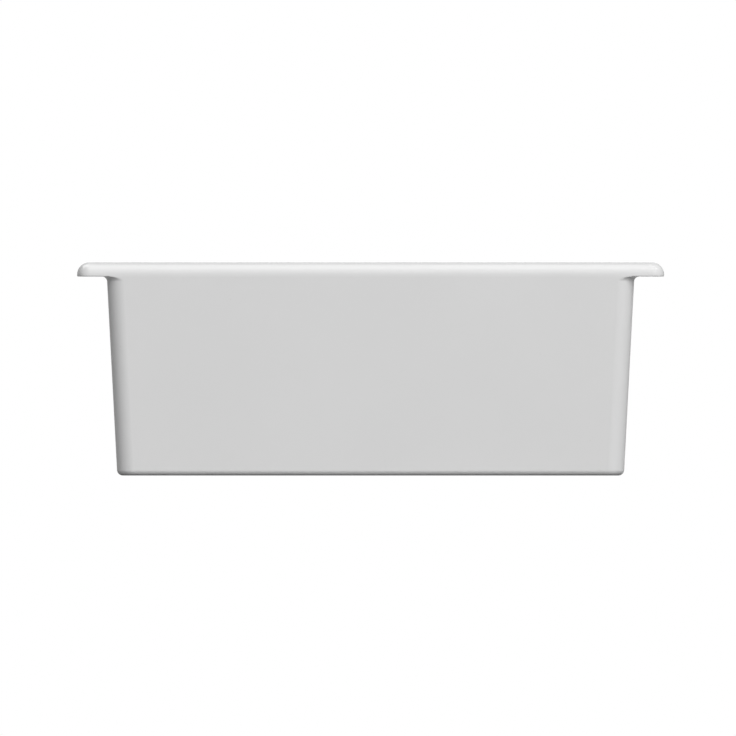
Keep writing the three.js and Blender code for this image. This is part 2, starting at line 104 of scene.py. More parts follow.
# Bowl, drain and overflow
BOWL_CORNER_RADIUS = 34
BOWL_COVE_RADIUS = 25
BOWL_LIP_RADIUS = 5
BOWL_FLOOR_FALL = 6.5
RECESS_RADIUS = 36
RECESS_DEPTH = 4.5
RECESS_TAPER = 1.6
BORE_RADIUS = 22.5
BOSS_RADIUS = 38
BOSS_EDGE = 2
SLOT_WIDTH = 36
SLOT_HEIGHT = 12
OVERFLOW_RADIUS = 12
OVERFLOW_DROP = 38
DUCT_WIDTH = 56
DUCT_RIB = 8
DUCT_PLATE = 8
DUCT_EDGE = 4

# Waste
FLANGE_THICKNESS = 4
FLANGE_EDGE = 1.4
DISH_RADIUS = 24.5
DISH_DEPTH = 3.6
TUBE_RADIUS = 20.95
TUBE_WALL = 2.8
TUBE_CHAMFER = 1.2
THREAD_PITCH = 2.309
THREAD_DEPTH = 1.1
THREAD_LENGTH = 34
WINDOW_WIDTH = 22
WINDOW_HEIGHT = 10
SPIDER_THICKNESS = 5
SPIDER_ARM = 4
HUB_RADIUS = 6.5
STUD_RADIUS = 3
CONE_TAPER = 3.5
CONE_SPIGOT_HEIGHT = 3
NUT_SIDES = 6
NUT_FACE_RADIUS = 26.5
NUT_FACE_THICKNESS = 1.2
HOUSING_WALL = 1.7
HOUSING_FLOOR = 3.5
SPRING_WIRE = 0.5
SPRING_TURNS = 5

# Stopper
PLUNGER_RADIUS = 3.9
PLUNGER_HEAD = 2
PIN_RADIUS = 2.8
CAP_EDGE_RADIUS = 1.3
CAP_DOME = 2.2
CAP_SPIGOT_RADIUS = 16
CAP_SPIGOT_WALL = 3
CAP_LIP_WIDTH = 1.4
CAP_LIP_HEIGHT = 1
CAP_BOSS_RADIUS = 6.5
CAP_SOCKET_DEPTH = 7

# Overflow ring
RING_FACE_THICKNESS = 2.6
RING_FACE_EDGE = 1.3
RING_SLEEVE_WALL = 1.8
RING_BARB_HEIGHT = 1.2
RING_BARB_LENGTH = 3
RING_SLOT_WIDTH = 2.4
RING_SLOTS = 2

# Gaps, how far a cut runs past what it cuts, and how near to each other points are joined
SEAT_GAP = 0.1
RING_GAP = 0.3
RUNNING_GAP = 0.3
OVERRUN = 2
WELD = 0.001

# Rounded edges of small pieces, and the most that one takes of the side beside it
CRISP = 0.2
FINE = 0.3
SOFT = 0.5
FULL = 0.8
EDGE_ROOM_SHARE = 0.45

# Places that follow from these sizes
SLOPE = math.tan(BODY_DRAFT)
RIM_TOP = BASIN.top
RIM_UNDERSIDE = RIM_TOP - RIM_THICKNESS
RIM_HALF = BASIN.width / 2
RIM_FRONT = -BASIN.depth / 2
BODY_HALF = RIM_HALF - RIM_OVERHANG
BODY_BACK = BASIN.depth / 2 - RIM_OVERHANG
FRONT_GAP = RIM_OVERHANG - WALL
BOWL_HALF = BODY_HALF - WALL
BOWL_BACK = BODY_BACK - WALL
BOWL_FRONT = RIM_FRONT + 2 * WALL + FRONT_GAP
DRAIN_SEAT = FLANGE_GASKET.bottom - SEAT_GAP
DRAIN_FLOOR = DRAIN_SEAT + RECESS_DEPTH
FLOOR_EDGE = DRAIN_FLOOR + BOWL_FLOOR_FALL
COVE_LEVEL = FLOOR_EDGE + BOWL_COVE_RADIUS
DUCT_FLOOR = DRAIN_FLOOR - WALL - FRONT_GAP
BOSS_BOTTOM = DUCT_FLOOR - DUCT_PLATE
OVERFLOW_LEVEL = RIM_TOP - OVERFLOW_DROP
FLANGE_UNDERSIDE = WASTE.top - FLANGE_THICKNESS
TUBE_BORE = TUBE_RADIUS - TUBE_WALL
THREAD_START = WASTE.bottom + TUBE_CHAMFER
WINDOW_LEVEL = DUCT_FLOOR + SLOT_HEIGHT / 2
SPIDER_TOP = HOUSING.bottom + SPIDER_THICKNESS
CLEAR_OF_TUBE = TUBE_RADIUS + RUNNING_GAP
HOUSING_SEAT = SPIDER_TOP + SEAT_GAP
HOUSING_BORE = HOUSING.radius - HOUSING_WALL
SPRING_BOTTOM = HOUSING_SEAT + HOUSING_FLOOR + SEAT_GAP
SPRING_TOP = RATCHET.bottom - SEAT_GAP
CAP_UNDERSIDE = SEAL.top + SEAT_GAP

# How finely round forms are divided
CORNER_STEPS = 14
SIDE_STEPS = 10
ARC_STEPS = 9
COVE_STEPS = 14
FLOOR_STEPS = 8
DOME_STEPS = 14
ROUND_SIDES = 96
SMALL_SIDES = 64
CAP_SIDES = 128
THREAD_STEPS_PER_TURN = 8
SPRING_STEPS_PER_TURN = 28
SPRING_SIDES = 16
EDGE_STEPS_PER_RADIAN = 4
EDGE_LEAST_STEPS = 2

# The turn below which a corner counts as straight, and the turn from which an edge stays sharp
STRAIGHT = math.radians(3)
SHARP = math.radians(26)


def shares(steps):
    return [step / steps for step in range(steps + 1)]


def quarter(steps):
    """A quarter circle as (in, up) shares of its radius, from level and furthest in to upright"""
    angles = [share * math.pi / 2 for share in shares(steps)]
    return [(1 - math.sin(angle), 1 - math.cos(angle)) for angle in angles]


# Node helpers
def tree_of(material):
    material.use_nodes = True
    tree = material.node_tree
    tree.nodes.clear()
    return tree


def connect(tree, value, socket):
    if isinstance(value, bpy.types.NodeSocket):
        tree.links.new(value, socket)
    else:
        socket.default_value = value


def node(tree, kind, inputs=None, **settings):
    made = tree.nodes.new("ShaderNode" + kind)
    for key, value in settings.items():
        setattr(made, key, value)
    for key, value in (inputs or {}).items():
        connect(tree, value, made.inputs[key])
    return made


def noise(tree, place, scale, detail=3, roughness=0.5):
    inputs = {"Vector": place, "Scale": scale, "Detail": detail, "Roughness": roughness}
    return node(tree, "TexNoise", inputs).outputs["Fac"]


def remap(tree, value, low, high, to_low, to_high):
    inputs = {"Value": value, "From Min": low, "From Max": high, "To Min": to_low, "To Max": to_high}
    return node(tree, "MapRange", inputs).outputs["Result"]


def blend_colour(tree, share, first, second):
    """The node has sockets for each kind of value, so those for colours are picked by number"""
    mix = node(tree, "Mix", data_type="RGBA")
    factor, first_colour, second_colour = mix.inputs[0], mix.inputs[6], mix.inputs[7]
    connect(tree, share, factor)
    connect(tree, first, first_colour)
    connect(tree, second, second_colour)
    mixed_colour = mix.outputs[2]
    return mixed_colour


def product(tree, first, second):
    return node(tree, "Math", {0: first, 1: second}, operation="MULTIPLY").outputs[0]


def bump(tree, height, depth, normal=None, strength=1.0, sunk=False):
    """A normal that rises by depth, in millimetres, with height, on top of another normal if one is given"""
    inputs = {"Height": height, "Distance": depth * MM, "Strength": strength}
    if normal is not None:
        inputs["Normal"] = normal
    return node(tree, "Bump", inputs, invert=sunk).outputs["Normal"]


# The parts of a noise's range that clouds and haze spread out, and the grain of haze and bumps
CLOUD_RANGE = (0.35, 0.65)
HAZE_RANGE = (0.3, 0.7)
GRAIN_DETAIL = 4
GRAIN_ROUGHNESS = 0.55


def surface(name, colours, roughness, bumps, cloud_scales, sockets=None, detail=None):
    """A procedural material: colour and roughness in clouds, and one bump for each (scale, depth in mm)"""
    material = bpy.data.materials.new(name)
    tree = tree_of(material)
    place = node(tree, "TexCoord").outputs["Object"]
    colour_scale, roughness_scale = cloud_scales
    clouds = remap(tree, noise(tree, place, colour_scale), *CLOUD_RANGE, 0, 1)
    haze = remap(tree, noise(tree, place, roughness_scale, GRAIN_DETAIL), *HAZE_RANGE, *roughness)
    colour = blend_colour(tree, clouds, (*colours[0], 1), (*colours[1], 1))
    normal = None
    for scale, depth in bumps:
        grain = noise(tree, place, scale, GRAIN_DETAIL, GRAIN_ROUGHNESS)
        normal = bump(tree, grain, depth, normal)
    if detail:
        colour, normal = detail(tree, place, colour, normal)
    inputs = {"Base Color": colour, "Roughness": haze, "Normal": normal, **(sockets or {})}
    shader = node(tree, "BsdfPrincipled", inputs)
    node(tree, "OutputMaterial", {"Surface": shader.outputs[0]})
    return material


# Pinholes of the glaze: one in about fifteen cells, solid in its core and gone at its rim
PINHOLE_SCALE = 110
PINHOLE_CORE = 0.02
PINHOLE_RIM = 0.045
PINHOLE_CHOICE = (0.93, 0.94)
PINHOLE_COLOUR = (0.62, 0.6, 0.56, 1)
PINHOLE_DEPTH = 0.05
PINHOLE_STRENGTH = 0.6


def pinholes(tree, place, colour, normal):
    """Sparse fine specks in the glaze, a shade darker and slightly sunk"""
    cells = node(tree, "TexVoronoi", {"Vector": place, "Scale": PINHOLE_SCALE})
    speck = remap(tree, cells.outputs["Distance"], PINHOLE_CORE, PINHOLE_RIM, 1, 0)
    chance = node(tree, "SeparateColor", {"Color": cells.outputs["Color"]}).outputs["Red"]
    dot = product(tree, speck, remap(tree, chance, *PINHOLE_CHOICE, 0, 1))
    colour = blend_colour(tree, dot, colour, PINHOLE_COLOUR)
    return colour, bump(tree, dot, PINHOLE_DEPTH, normal, PINHOLE_STRENGTH, sunk=True)


# Marks of turning
TURNING_SCALE = 900
TURNING_WAVER = 0.6
TURNING_DETAIL = 2
TURNING_DEPTH = 0.01
TURNING_STRENGTH = 0.5


def turned(tree, place, colour, normal):
    """Fine rings left by turning, round the waste's axis"""
    inputs = {"Vector": place, "Scale": TURNING_SCALE, "Distortion": TURNING_WAVER, "Detail": TURNING_DETAIL}
    rings = node(tree, "TexWave", inputs, wave_type="RINGS", rings_direction="Z").outputs["Fac"]
    return colour, bump(tree, rings, TURNING_DEPTH, normal, TURNING_STRENGTH)


# Materials
GLAZE = surface(
    "glaze",
    colours=((0.8, 0.8, 0.8), (0.79, 0.79, 0.79)),
    roughness=(0.08, 0.14),
    bumps=((28, 0.02), (240, 0.003)),
    cloud_scales=(9, 16),
    sockets={"IOR": 1.52},
    detail=pinholes,
)
BISQUE = surface(
    "bisque",
    colours=((0.76, 0.735, 0.69), (0.66, 0.635, 0.59)),
    roughness=(0.5, 0.82),
    bumps=((60, 0.12), (900, 0.05)),
    cloud_scales=(24, 30),
)
CHROME = surface(
    "chrome",
    colours=((0.82, 0.825, 0.83), (0.79, 0.795, 0.803)),
    roughness=(0.045, 0.085),
    bumps=((60, 0.008), (1400, 0.002)),
    cloud_scales=(60, 45),
    sockets={"Metallic": 1.0},
)
BRASS = surface(
    "brass",
    colours=((0.74, 0.55, 0.27), (0.6, 0.43, 0.2)),
    roughness=(0.24, 0.42),
    bumps=((300, 0.02), (1800, 0.008)),
    cloud_scales=(120, 200),
    sockets={"Metallic": 1.0},
    detail=turned,
)
RUBBER = surface(
    "rubber",
    colours=((0.026, 0.026, 0.027), (0.045, 0.044, 0.043)),
    roughness=(0.55, 0.8),
    bumps=((700, 0.03), (2600, 0.015)),
    cloud_scales=(90, 300),
)
NYLON = surface(
    "nylon",
    colours=((0.8, 0.78, 0.71), (0.72, 0.7, 0.63)),
    roughness=(0.32, 0.5),
    bumps=((500, 0.02), (2000, 0.008)),
    cloud_scales=(100, 300),
    sockets={"Subsurface Weight": 0.15, "Subsurface Scale": 0.002},
)
ACETAL = surface(
    "acetal",
    colours=((0.035, 0.036, 0.04), (0.055, 0.056, 0.06)),
    roughness=(0.3, 0.45),
    bumps=((600, 0.015), (2200, 0.006)),
    cloud_scales=(120, 300),
)
SPRING_STEEL = surface(
    "spring_steel",
    colours=((0.5, 0.51, 0.53), (0.4, 0.4, 0.41)),
    roughness=(0.22, 0.36),
    bumps=((900, 0.01), (3000, 0.004)),
    cloud_scales=(300, 500),
    sockets={"Metallic": 1.0},
)


# Mesh helpers
def solid(points, faces, material):
    mesh = bpy.data.meshes.new("solid")
    mesh.from_pydata([Vector(point) * MM for point in points], [], faces)
    mesh.materials.append(material)
    made = bpy.data.objects.new("solid", mesh)
    bpy.context.scene.collection.objects.link(made)
    return made


def placed(made, place):
    """made, with its mesh turned and moved by a matrix in millimetres"""
    turn = place.copy()
    turn.translation = place.translation * MM
    made.data.transform(turn)
    return made


def rounded_outline(half, front, back, corner, sides=1):
    """A rounded rectangle, anticlockwise from above, with points along its straight sides if asked for"""
    centres = (
        (half - corner, back - corner),
        (corner - half, back - corner),
        (corner - half, front + corner),
        (half - corner, front + corner),
    )
    arcs = []
    for turn, (x, y) in enumerate(centres):
        angles = [(turn + share) * math.pi / 2 for share in shares(CORNER_STEPS)]
        arcs.append([Vector((x + corner * math.cos(a), y + corner * math.sin(a))) for a in angles])
    outline = []
    for arc, following in zip(arcs, arcs[1:] + arcs[:1]):
        outline += arc + [arc[-1].lerp(following[0], share) for share in shares(sides)[1:-1]]
    return outline


def circle_outline(radius):
    """A circle with one point for each point of the bowl's outline, at about the same angle"""
    count = 4 * (CORNER_STEPS + SIDE_STEPS)
    angles = [(index + SIDE_STEPS / 2) / count * math.tau for index in range(count)]
    return [Vector((radius * math.cos(a), radius * math.sin(a))) for a in angles]


def skin(rings, material):
    """A closed skin through rings of points, each anticlockwise as seen from the ring after it"""
    count = len(rings[0])
    points = [point for ring_points in rings for point in ring_points]
    faces = [tuple(reversed(range(count)))]
    for start in range(0, len(points) - count, count):
        for index in range(count):
            here, there = start + index, start + (index + 1) % count
            faces.append((here, there, there + count, here + count))
    faces.append(tuple(range(len(points) - count, len(points))))
    return solid(points, faces, material)


def loft(sections, material=GLAZE):
    """A skin through (outline, level) sections from the bottom up"""
    return skin([[(p.x, p.y, level) for p in outline] for outline, level in sections], material)


def block(left, right, front, back, bottom, top, material):
    outline = [Vector(p) for p in ((right, back), (left, back), (left, front), (right, front))]
    return loft([(outline, bottom), (outline, top)], material)


def softened(profile):
    """A closed profile of (radius, level, edge) corners, with each corner rounded off by its edge"""
    points = []
    for index, (radius, level, edge) in enumerate(profile):
        corner = Vector((radius, level))
        back = Vector(profile[index - 1][:2]) - corner
        ahead = Vector(profile[(index + 1) % len(profile)][:2]) - corner
        turn = math.pi - back.angle(ahead)
        if edge <= 0 or turn < STRAIGHT:
            points.append((radius, level))
            continue
        room = EDGE_ROOM_SHARE * min(back.length, ahead.length)
        cut = min(edge * math.tan(turn / 2), room)
        arc = cut / math.tan(turn / 2)
        back.normalize()
        ahead.normalize()
        centre = corner + (back + ahead).normalized() * math.hypot(cut, arc)
        start = corner + back * cut - centre
        end = corner + ahead * cut - centre
        for share in shares(max(EDGE_LEAST_STEPS, round(turn * EDGE_STEPS_PER_RADIAN))):
            reach = start * math.sin((1 - share) * turn) + end * math.sin(share * turn)
            points.append(tuple(centre + reach / math.sin(turn)))
    return points


def revolve(profile, material, sides=ROUND_SIDES):
    """A closed anticlockwise profile turned about Z; a radius may be a function of angle and level"""
    points, rings = [], []
    for radius, level in profile:
        if not callable(radius) and radius < WELD:
            rings.append([len(points)] * sides)
            points.append((0, 0, level))
            continue
        rings.append(range(len(points), len(points) + sides))
        for share in shares(sides)[:-1]:
            angle = share * math.tau
            reach = radius(angle, level) if callable(radius) else radius
            points.append((reach * math.cos(angle), reach * math.sin(angle), level))
    faces = []
    for low, high in zip(rings, rings[1:] + rings[:1]):
        for side in range(sides):
            following = (side + 1) % sides
            face = dict.fromkeys((low[side], low[following], high[following], high[side]))
            if len(face) > 2:
                faces.append(tuple(face))
    return solid(points, faces, material)


def cylinder(radius, bottom, top, material, sides=ROUND_SIDES, edge=0):
    corners = [(0, bottom, 0), (radius, bottom, edge), (radius, top, edge), (0, top, 0)]
    return revolve(softened(corners), material, sides)


def ring(inner, outer, bottom, top, material, edge):
    corners = [(inner, bottom, edge), (outer, bottom, edge), (outer, top, edge), (inner, top, edge)]
    return revolve(softened(corners), material)


def combined(base, *steps):
    """base after each (operation, tool) has been applied, with the tools used up"""
    for operation, tool in steps:
        modifier = base.modifiers.new("cut", "BOOLEAN")
        modifier.operation = operation
        modifier.object = tool
        modifier.solver = "MANIFOLD"
        modifier.material_mode = "TRANSFER"
    graph = bpy.context.evaluated_depsgraph_get()
    graph.update()
    evaluated = base.evaluated_get(graph)
    mesh = bpy.data.meshes.new_from_object(evaluated, preserve_all_data_layers=True, depsgraph=graph)
    base.modifiers.clear()
    base.data = mesh
    for _, tool in steps:
        bpy.data.objects.remove(tool)
    return base


def weld(mesh):
    """Joins the points that cuts left on top of each other"""
    shell = bmesh.new()
    shell.from_mesh(mesh)
    bmesh.ops.remove_doubles(shell, verts=shell.verts, dist=WELD * MM)
    bmesh.ops.dissolve_degenerate(shell, edges=shell.edges, dist=WELD * MM)
    shell.to_mesh(mesh)
    shell.free()


def finished(made, node_name):
    """made, smooth but for its real edges, as the piece that stands for its CAD node"""
    made.name = made.data.name = node_name + "_visual"
    weld(made.data)
    made.data.polygons.foreach_set("use_smooth", [True] * len(made.data.polygons))
    made.data.set_sharp_from_angle(angle=SHARP)
    normals = made.modifiers.new("normals", "WEIGHTED_NORMAL")
    normals.keep_sharp = True
    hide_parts(node_name)
    return made


def piece(made, node_name, body):
    """The finished piece, carried along by one body"""
    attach(finished(made, node_name), body)


# Basin
def draft_inset(level):
    """How far a drafted wall stands in from its place at the rim's underside"""
    return (RIM_UNDERSIDE - level) * SLOPE


def body_section(level, inset, corner=BODY_CORNER_RADIUS):
    """The outer wall at a level, moved in by an inset; its corner is the radius at no inset"""
    drafted = inset + draft_inset(level)
    outline = rounded_outline(BODY_HALF - drafted, RIM_FRONT + drafted, BODY_BACK - drafted, corner - inset)
    return outline, level


def hollow_section(level, flare):
    """The underside's hollow at a level, moved out by a flare"""
    inset = WALL - flare
    return body_section(level, inset, HOLLOW_CORNER_RADIUS + WALL)


def fillet_section(level, reach):
    """The wall moved out by the fillet, but never past the front wall, which is flush with the rim"""
    outline, _ = body_section(level, -reach)
    front = RIM_FRONT + draft_inset(level)
    return [Vector((p.x, max(p.y, front))) for p in outline], level


def rim_section(level, inset):
    front = RIM_FRONT + inset
    return rounded_outline(RIM_HALF - inset, front, -front, RIM_CORNER_RADIUS - inset), level


def bowl_section(level, inset):
    corner = BOWL_CORNER_RADIUS - inset
    outline = rounded_outline(BOWL_HALF - inset, BOWL_FRONT + inset, BOWL_BACK - inset, corner, SIDE_STEPS)
    return outline, level


def cove_angles():
    """The cove's turn from the level floor, at a right angle, up to the drafted wall"""
    return [math.pi / 2 + (BODY_DRAFT - math.pi / 2) * share for share in shares(COVE_STEPS)]


def cove_inset():
    """How far the cove's centre line stands in from the bowl's place at the rim's underside"""
    return draft_inset(COVE_LEVEL) + BOWL_COVE_RADIUS / math.cos(BODY_DRAFT)


def bowl_sections(thickness):
    """The bowl's surface moved out by a thickness, from the drain's recess up to the top of the cove"""
    reach = BOWL_COVE_RADIUS + thickness
    cove = [
        bowl_section(COVE_LEVEL - reach * math.sin(angle), cove_inset() - reach * math.cos(angle))
        for angle in cove_angles()
    ]
    edge, edge_level = cove[0]
    centre_level = DRAIN_FLOOR - thickness
    floor = []
    for share in shares(FLOOR_STEPS)[:-1]:
        outline = [p.lerp(q, share) for p, q in zip(circle_outline(RECESS_RADIUS), edge)]
        floor.append((outline, centre_level + (edge_level - centre_level) * share))
    return floor + cove


def bowl_solid(thickness):
    """The bowl filled up, with its walls as thick as given, and run past the rim's underside"""
    top = RIM_UNDERSIDE + OVERRUN
    wall_top = bowl_section(top, draft_inset(top) - thickness / math.cos(BODY_DRAFT))
    return loft(bowl_sections(thickness) + [wall_top], BISQUE)


def bowl_space():
    """The space in the bowl, with softened edges at the drain's seat and a rounded lip"""
    drain = softened(
        [
            (BORE_RADIUS, BOSS_BOTTOM - OVERRUN, 0),
            (BORE_RADIUS, DRAIN_SEAT, FULL),
            (RECESS_RADIUS - RECESS_TAPER, DRAIN_SEAT, SOFT),
            (RECESS_RADIUS, DRAIN_FLOOR, FULL),
            (RECESS_RADIUS + OVERRUN, DRAIN_FLOOR, 0),
        ]
    )
    floor = bowl_sections(0)[1:]
    inset = draft_inset(RIM_TOP - BOWL_LIP_RADIUS)
    lip = [
        bowl_section(RIM_TOP - BOWL_LIP_RADIUS * inward, inset - BOWL_LIP_RADIUS * upward)
        for inward, upward in quarter(ARC_STEPS)
    ]
    above = (lip[-1][0], RIM_TOP + OVERRUN)
    return loft([(circle_outline(radius), level) for radius, level in drain] + floor + lip + [above])


def outer_body():
    """The body under the rim, filled, with a rounded, unglazed foot and the fillet under the ledges"""
    foot = [
        body_section(FOOT_RADIUS * upward, FOOT_RADIUS * inward) for inward, upward in quarter(ARC_STEPS)
    ]
    fillet = [
        fillet_section(RIM_UNDERSIDE - LEDGE_FILLET * inward, LEDGE_FILLET * upward)
        for inward, upward in quarter(ARC_STEPS)
    ]
    made = loft(foot + fillet + [(fillet[-1][0], RIM_TOP - RIM_TOP_RADIUS)])
    made.data.materials.append(BISQUE)
    foot_face = made.data.polygons[0]
    foot_face.material_index = 1
    return made


def rim_solid():
    """The rim as a slab, almost sharp below and rounded above"""
    under = [
        rim_section(RIM_UNDERSIDE + RIM_UNDER_RADIUS * upward, RIM_UNDER_RADIUS * inward)
        for inward, upward in quarter(ARC_STEPS)
    ]
    top = [
        rim_section(RIM_TOP - RIM_TOP_RADIUS * inward, RIM_TOP_RADIUS * upward)
        for inward, upward in quarter(CORNER_STEPS)
    ]
    return loft(under + top)


def hollow_space():
    """The space under the bowl, wider at its rounded lower edge"""
    flare = [
        hollow_section(HOLLOW_EDGE_RADIUS * (1 - inward), HOLLOW_EDGE_RADIUS * (1 - upward))
        for inward, upward in quarter(ARC_STEPS)
    ]
    below = (flare[0][0], -OVERRUN)
    return loft([below] + flare + [hollow_section(RIM_UNDERSIDE, 0)], BISQUE)


def duct_casing():
    """The duct's outside: a rounded bar that follows the bowl from the drain's boss up to the rim"""
    out = WALL + FRONT_GAP + DUCT_PLATE
    top = RIM_UNDERSIDE + OVERRUN
    top_front = BOWL_FRONT + draft_inset(top) - out / math.cos(BODY_DRAFT)
    reach = BOWL_COVE_RADIUS + out
    path = [(0, DRAIN_FLOOR - out, math.pi / 2), (-RECESS_RADIUS, DRAIN_FLOOR - out, math.pi / 2)]
    for angle in cove_angles():
        y = BOWL_FRONT + cove_inset() - reach * math.cos(angle)
        path.append((y, COVE_LEVEL - reach * math.sin(angle), angle))
    path.append((top_front, top, BODY_DRAFT))
    section = rounded_outline(DUCT_WIDTH / 2 + DUCT_RIB, 0, out - WALL / 2, DUCT_EDGE)
    rings = []
    for y, z, angle in path:
        rings.append([(p.x, y + math.cos(angle) * p.y, z + math.sin(angle) * p.y) for p in section])
    return skin(rings, BISQUE)


def boss(edge=0):
    """The round boss under the bowl's floor, where the waste is clamped"""
    return cylinder(BOSS_RADIUS, BOSS_BOTTOM, DRAIN_FLOOR - WALL + OVERRUN, BISQUE, edge=edge)


def duct_space():
    """The channel outside the bowl's wall, from the overflow hole down to the drain's boss"""
    half = DUCT_WIDTH / 2
    return combined(
        bowl_solid(WALL + FRONT_GAP),
        ("INTERSECT", block(-half, half, RIM_FRONT, 0, 0, RIM_UNDERSIDE, BISQUE)),
        ("DIFFERENCE", bowl_solid(WALL)),
        ("DIFFERENCE", boss()),
    )


def overflow_place():
    """The overflow hole's place and turn, square to the bowl's drafted front wall"""
    front = BOWL_FRONT + draft_inset(OVERFLOW_LEVEL)
    turn = Matrix.Rotation(BODY_DRAFT - math.pi / 2, 4, "X")
    return Matrix.Translation((0, front, OVERFLOW_LEVEL)) @ turn


def basin():
    """One casting: a bowl inside drafted outer walls, open below, with the overflow's duct in front"""
    hollow = combined(
        hollow_space(),
        ("DIFFERENCE", bowl_solid(WALL)),
        ("DIFFERENCE", boss(BOSS_EDGE)),
        ("DIFFERENCE", duct_casing()),
    )
    half = SLOT_WIDTH / 2
    slot = block(-half, half, -BOSS_RADIUS, 0, DUCT_FLOOR, DUCT_FLOOR + SLOT_HEIGHT, BISQUE)
    hole = cylinder(OVERFLOW_RADIUS, -WALL - OVERRUN, OVERRUN, GLAZE)
    return combined(
        outer_body(),
        ("UNION", rim_solid()),
        ("DIFFERENCE", hollow),
        ("DIFFERENCE", duct_space()),
        ("DIFFERENCE", slot),
        ("DIFFERENCE", placed(hole, overflow_place())),
        ("DIFFERENCE", bowl_space()),
    )


# Waste
def thread(angle, level):
    """The radius of a rounded thread that dies out at both of its ends"""
    from_end = min(level - THREAD_START, THREAD_START + THREAD_LENGTH - level)
    depth = THREAD_DEPTH * max(0, min(1, from_end / THREAD_PITCH))
    turn = math.tau * level / THREAD_PITCH - angle
    return TUBE_RADIUS - depth * (1 - math.cos(turn)) / 2


def waste_tube():
    """The flanged tube, from the thread's upper end round the flange and down the bore"""
    plain = softened(
        [
            (TUBE_RADIUS, THREAD_START + THREAD_LENGTH, 0),
            (TUBE_RADIUS, FLANGE_UNDERSIDE, 0),
            (WASTE.radius, FLANGE_UNDERSIDE, FINE),
            (WASTE.radius, WASTE.top, FLANGE_EDGE),
            (DISH_RADIUS, WASTE.top, FULL),
            (TUBE_BORE, WASTE.top - DISH_DEPTH, FULL),
            (TUBE_BORE, WASTE.bottom, SOFT),
            (TUBE_RADIUS - TUBE_CHAMFER, WASTE.bottom, 0),
        ]
    )
    rows = shares(round(THREAD_LENGTH / THREAD_PITCH * THREAD_STEPS_PER_TURN))[:-1]
    threaded = [(thread, THREAD_START + THREAD_LENGTH * share) for share in rows]
    return revolve(plain + threaded, CHROME)


def waste_window():
    """A slot with round ends through both sides of the tube, level with the slot in the drain's boss"""
    half = WINDOW_HEIGHT / 2
    reach = TUBE_RADIUS + OVERRUN
    outline = rounded_outline(WINDOW_WIDTH / 2, -half, half, half)
    turn = Matrix.Translation((0, 0, WINDOW_LEVEL)) @ Matrix.Rotation(math.pi / 2, 4, "X")
    return placed(loft([(outline, -reach), (outline, reach)], CHROME), turn)


def waste_body():
    """The waste's tube with its windows, and a spider whose hub takes the cartridge's stud"""
    bottom, top = HOUSING.bottom, SPIDER_TOP
    reach = TUBE_RADIUS - TUBE_WALL / 2
    half = SPIDER_ARM / 2
    stud_bore = STUD_RADIUS + SEAT_GAP
    return combined(
        waste_tube(),
        ("DIFFERENCE", waste_window()),
        ("UNION", block(-reach, reach, -half, half, bottom, top, CHROME)),
        ("UNION", block(-half, half, -reach, reach, bottom, top, CHROME)),
        ("UNION", cylinder(HUB_RADIUS, bottom, top, CHROME, SMALL_SIDES, FINE)),
        ("DIFFERENCE", cylinder(stud_bore, bottom - OVERRUN, top + OVERRUN, CHROME, SMALL_SIDES)),
    )


def flange_gasket():
    """The flat ring between the flange and the drain's seat"""
    bottom, top = FLANGE_GASKET.bottom, FLANGE_GASKET.top
    return ring(CLEAR_OF_TUBE, FLANGE_GASKET.radius, bottom, top, RUBBER, FINE)


def cone_gasket():
    """The stepped gasket: its spigot centres the waste in the drain's bore"""
    bottom = CONE_GASKET.bottom
    shoulder = CONE_GASKET.top - CONE_SPIGOT_HEIGHT
    spigot = BORE_RADIUS - RUNNING_GAP
    corners = [
        (CLEAR_OF_TUBE, bottom, FINE),
        (CONE_GASKET.radius, bottom, FULL),
        (CONE_GASKET.radius, (bottom + shoulder) / 2, FULL),
        (CONE_GASKET.radius - CONE_TAPER, shoulder, SOFT),
        (spigot, shoulder, CRISP),
        (spigot, CONE_GASKET.top, FINE),
        (CLEAR_OF_TUBE, CONE_GASKET.top, CRISP),
    ]
    return revolve(softened(corners), RUBBER)


def slip_washer():
    """The washer that lets the nut turn on the gasket"""
    return ring(CLEAR_OF_TUBE, WASHER.radius, WASHER.bottom, WASHER.top, NYLON, FINE)


def back_nut():
    """A hexagon whose corners are turned off, with a round face towards the washer and a chamfered bore"""
    flat = NUT.width / 2
    hexagon = flat / math.cos(math.pi / NUT_SIDES)
    outer = hexagon + OVERRUN
    chamfer = (outer - flat) / 2
    shoulder = NUT.top - NUT_FACE_THICKNESS
    bore_mouth = CLEAR_OF_TUBE + OVERRUN + FULL
    turned_outside = [
        (0, NUT.bottom, 0),
        (flat - FINE, NUT.bottom, FINE),
        (outer, NUT.bottom + chamfer, 0),
        (outer, shoulder - chamfer, 0),
        (flat - FINE, shoulder, FINE),
        (NUT_FACE_RADIUS, shoulder, 0),
        (NUT_FACE_RADIUS, NUT.top, FINE),
        (0, NUT.top, 0),
    ]
    bore = [
        (0, NUT.bottom - OVERRUN, 0),
        (bore_mouth, NUT.bottom - OVERRUN, 0),
        (CLEAR_OF_TUBE, NUT.bottom + FULL, 0),
        (CLEAR_OF_TUBE, NUT.top - FULL, 0),
        (bore_mouth, NUT.top + OVERRUN, 0),
        (0, NUT.top + OVERRUN, 0),
    ]
    angles = [(side + 1 / 2) * math.tau / NUT_SIDES for side in range(NUT_SIDES)]
    corners = [Vector((hexagon * math.cos(angle), hexagon * math.sin(angle))) for angle in angles]
    return combined(
        loft([(corners, NUT.bottom - OVERRUN), (corners, NUT.top + OVERRUN)], BRASS),
        ("INTERSECT", revolve(softened(turned_outside), BRASS)),
        ("DIFFERENCE", revolve(softened(bore), BRASS)),
    )


